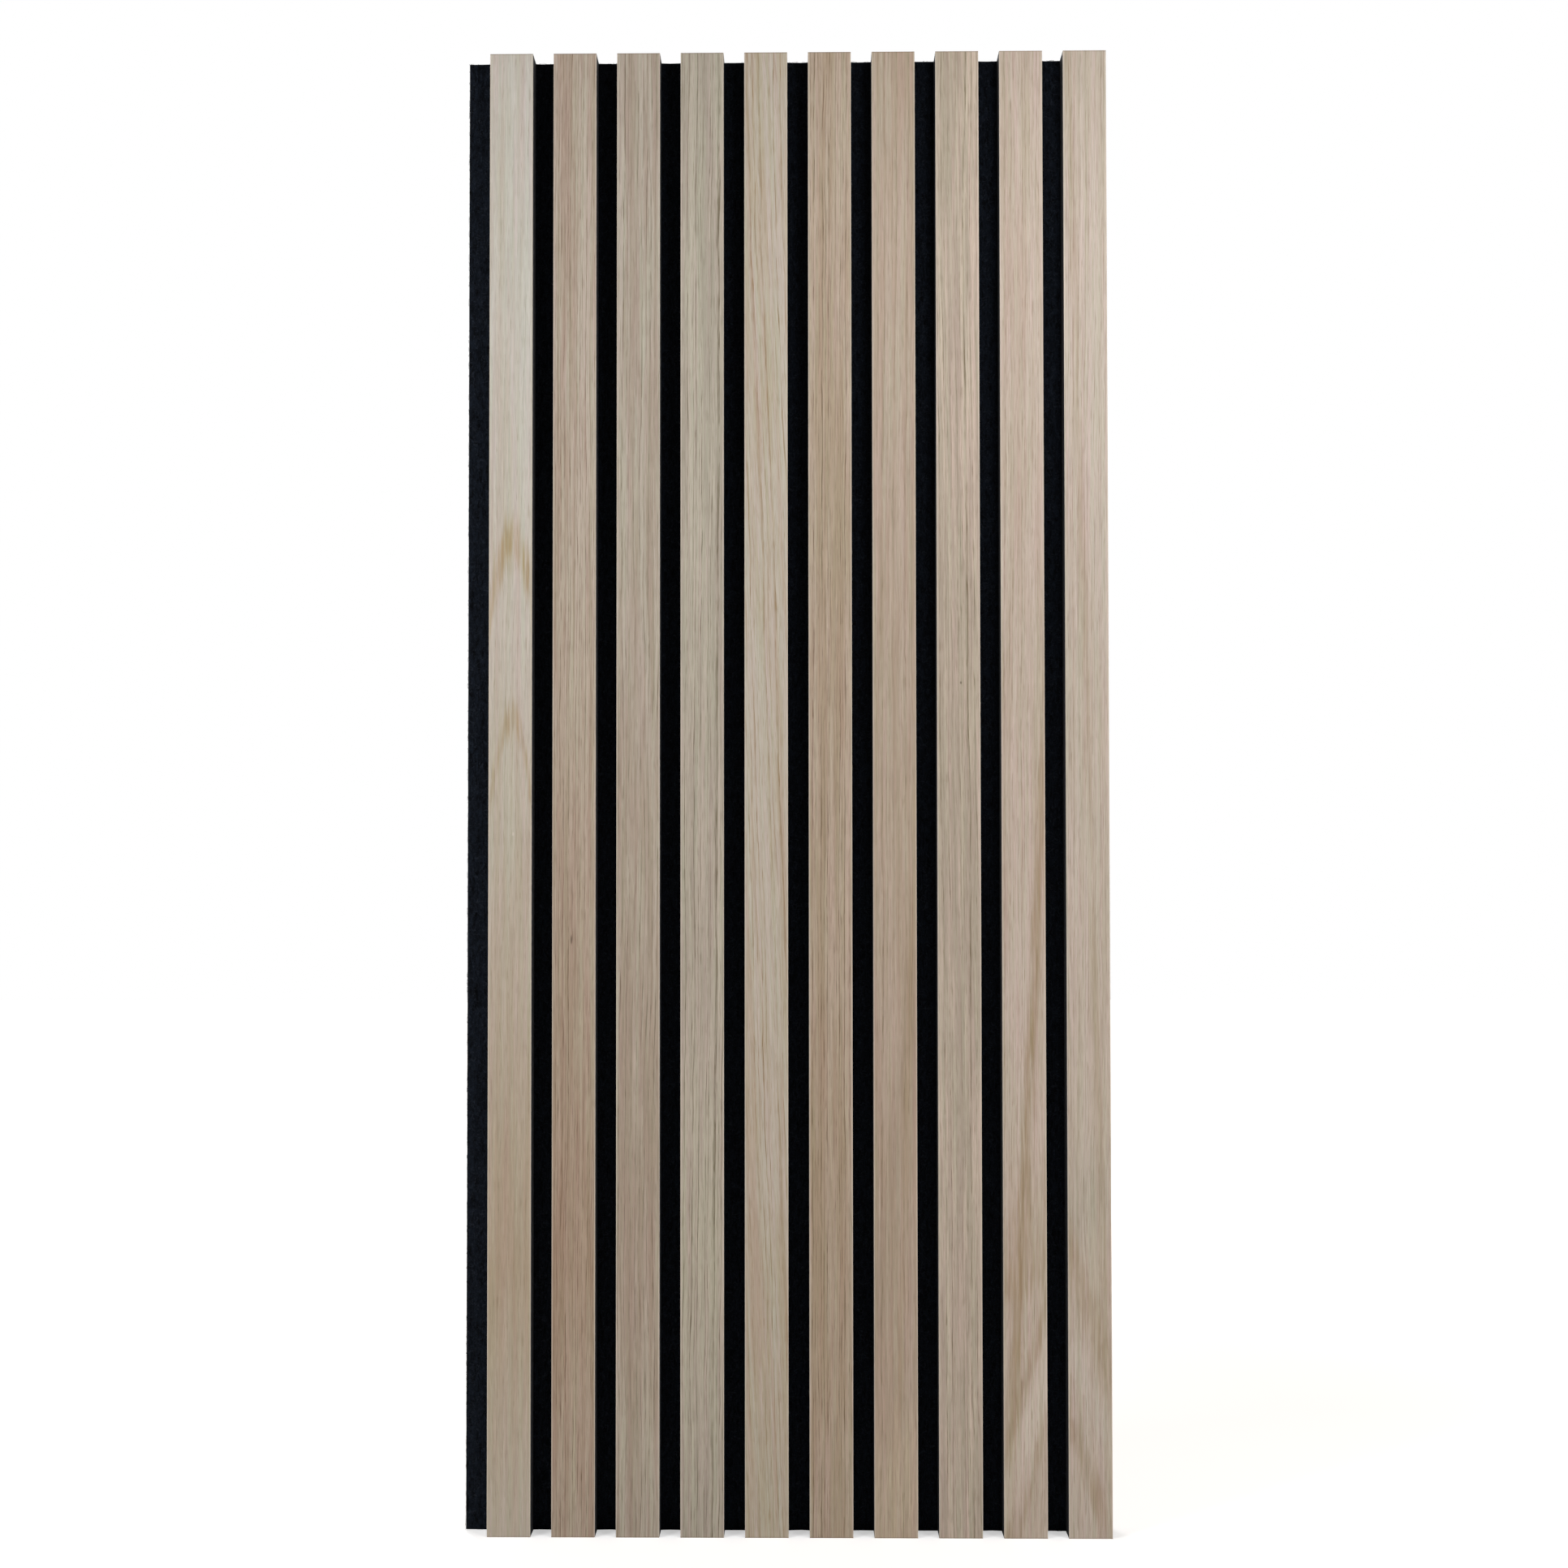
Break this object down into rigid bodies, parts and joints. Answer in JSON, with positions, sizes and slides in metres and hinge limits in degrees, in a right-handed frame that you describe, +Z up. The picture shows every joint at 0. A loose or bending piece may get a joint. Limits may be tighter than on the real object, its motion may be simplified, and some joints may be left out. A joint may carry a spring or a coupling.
{
  "type": "acoustic slat wall panel",
  "caption": "Acoustic slat wall panel: oak-faced slats on black cores, stapled side by side onto a dark felt board with a felt lip along one long edge.",
  "frame": {"origin": "centre of the back face, which lies on the wall", "axes": "+Z up along the slats, +Y into the wall, +X to the right as seen from the room; the felt lip is on the -X side"},
  "size_m": [0.4026, 0.021, 0.927],
  "materials": {
    "oak_veneer": "matt lacquer",
    "black_fibreboard": "matt",
    "black_felt": "matt needled",
    "staple_steel": "galvanised"
  },
  "bodies": {
    "root": {"felt_backing": "black_felt", "slat_core_01": "black_fibreboard", "slat_core_02": "black_fibreboard", "slat_core_03": "black_fibreboard", "slat_core_04": "black_fibreboard", "slat_core_05": "black_fibreboard", "slat_core_06": "black_fibreboard", "slat_core_07": "black_fibreboard", "slat_core_08": "black_fibreboard", "slat_core_09": "black_fibreboard", "slat_core_10": "black_fibreboard", "slat_veneer_01": "oak_veneer", "slat_veneer_02": "oak_veneer", "slat_veneer_03": "oak_veneer", "slat_veneer_04": "oak_veneer", "slat_veneer_05": "oak_veneer", "slat_veneer_06": "oak_veneer", "slat_veneer_07": "oak_veneer", "slat_veneer_08": "oak_veneer", "slat_veneer_09": "oak_veneer", "slat_veneer_10": "oak_veneer", "staples": "staple_steel"}
  },
  "joints": []
}
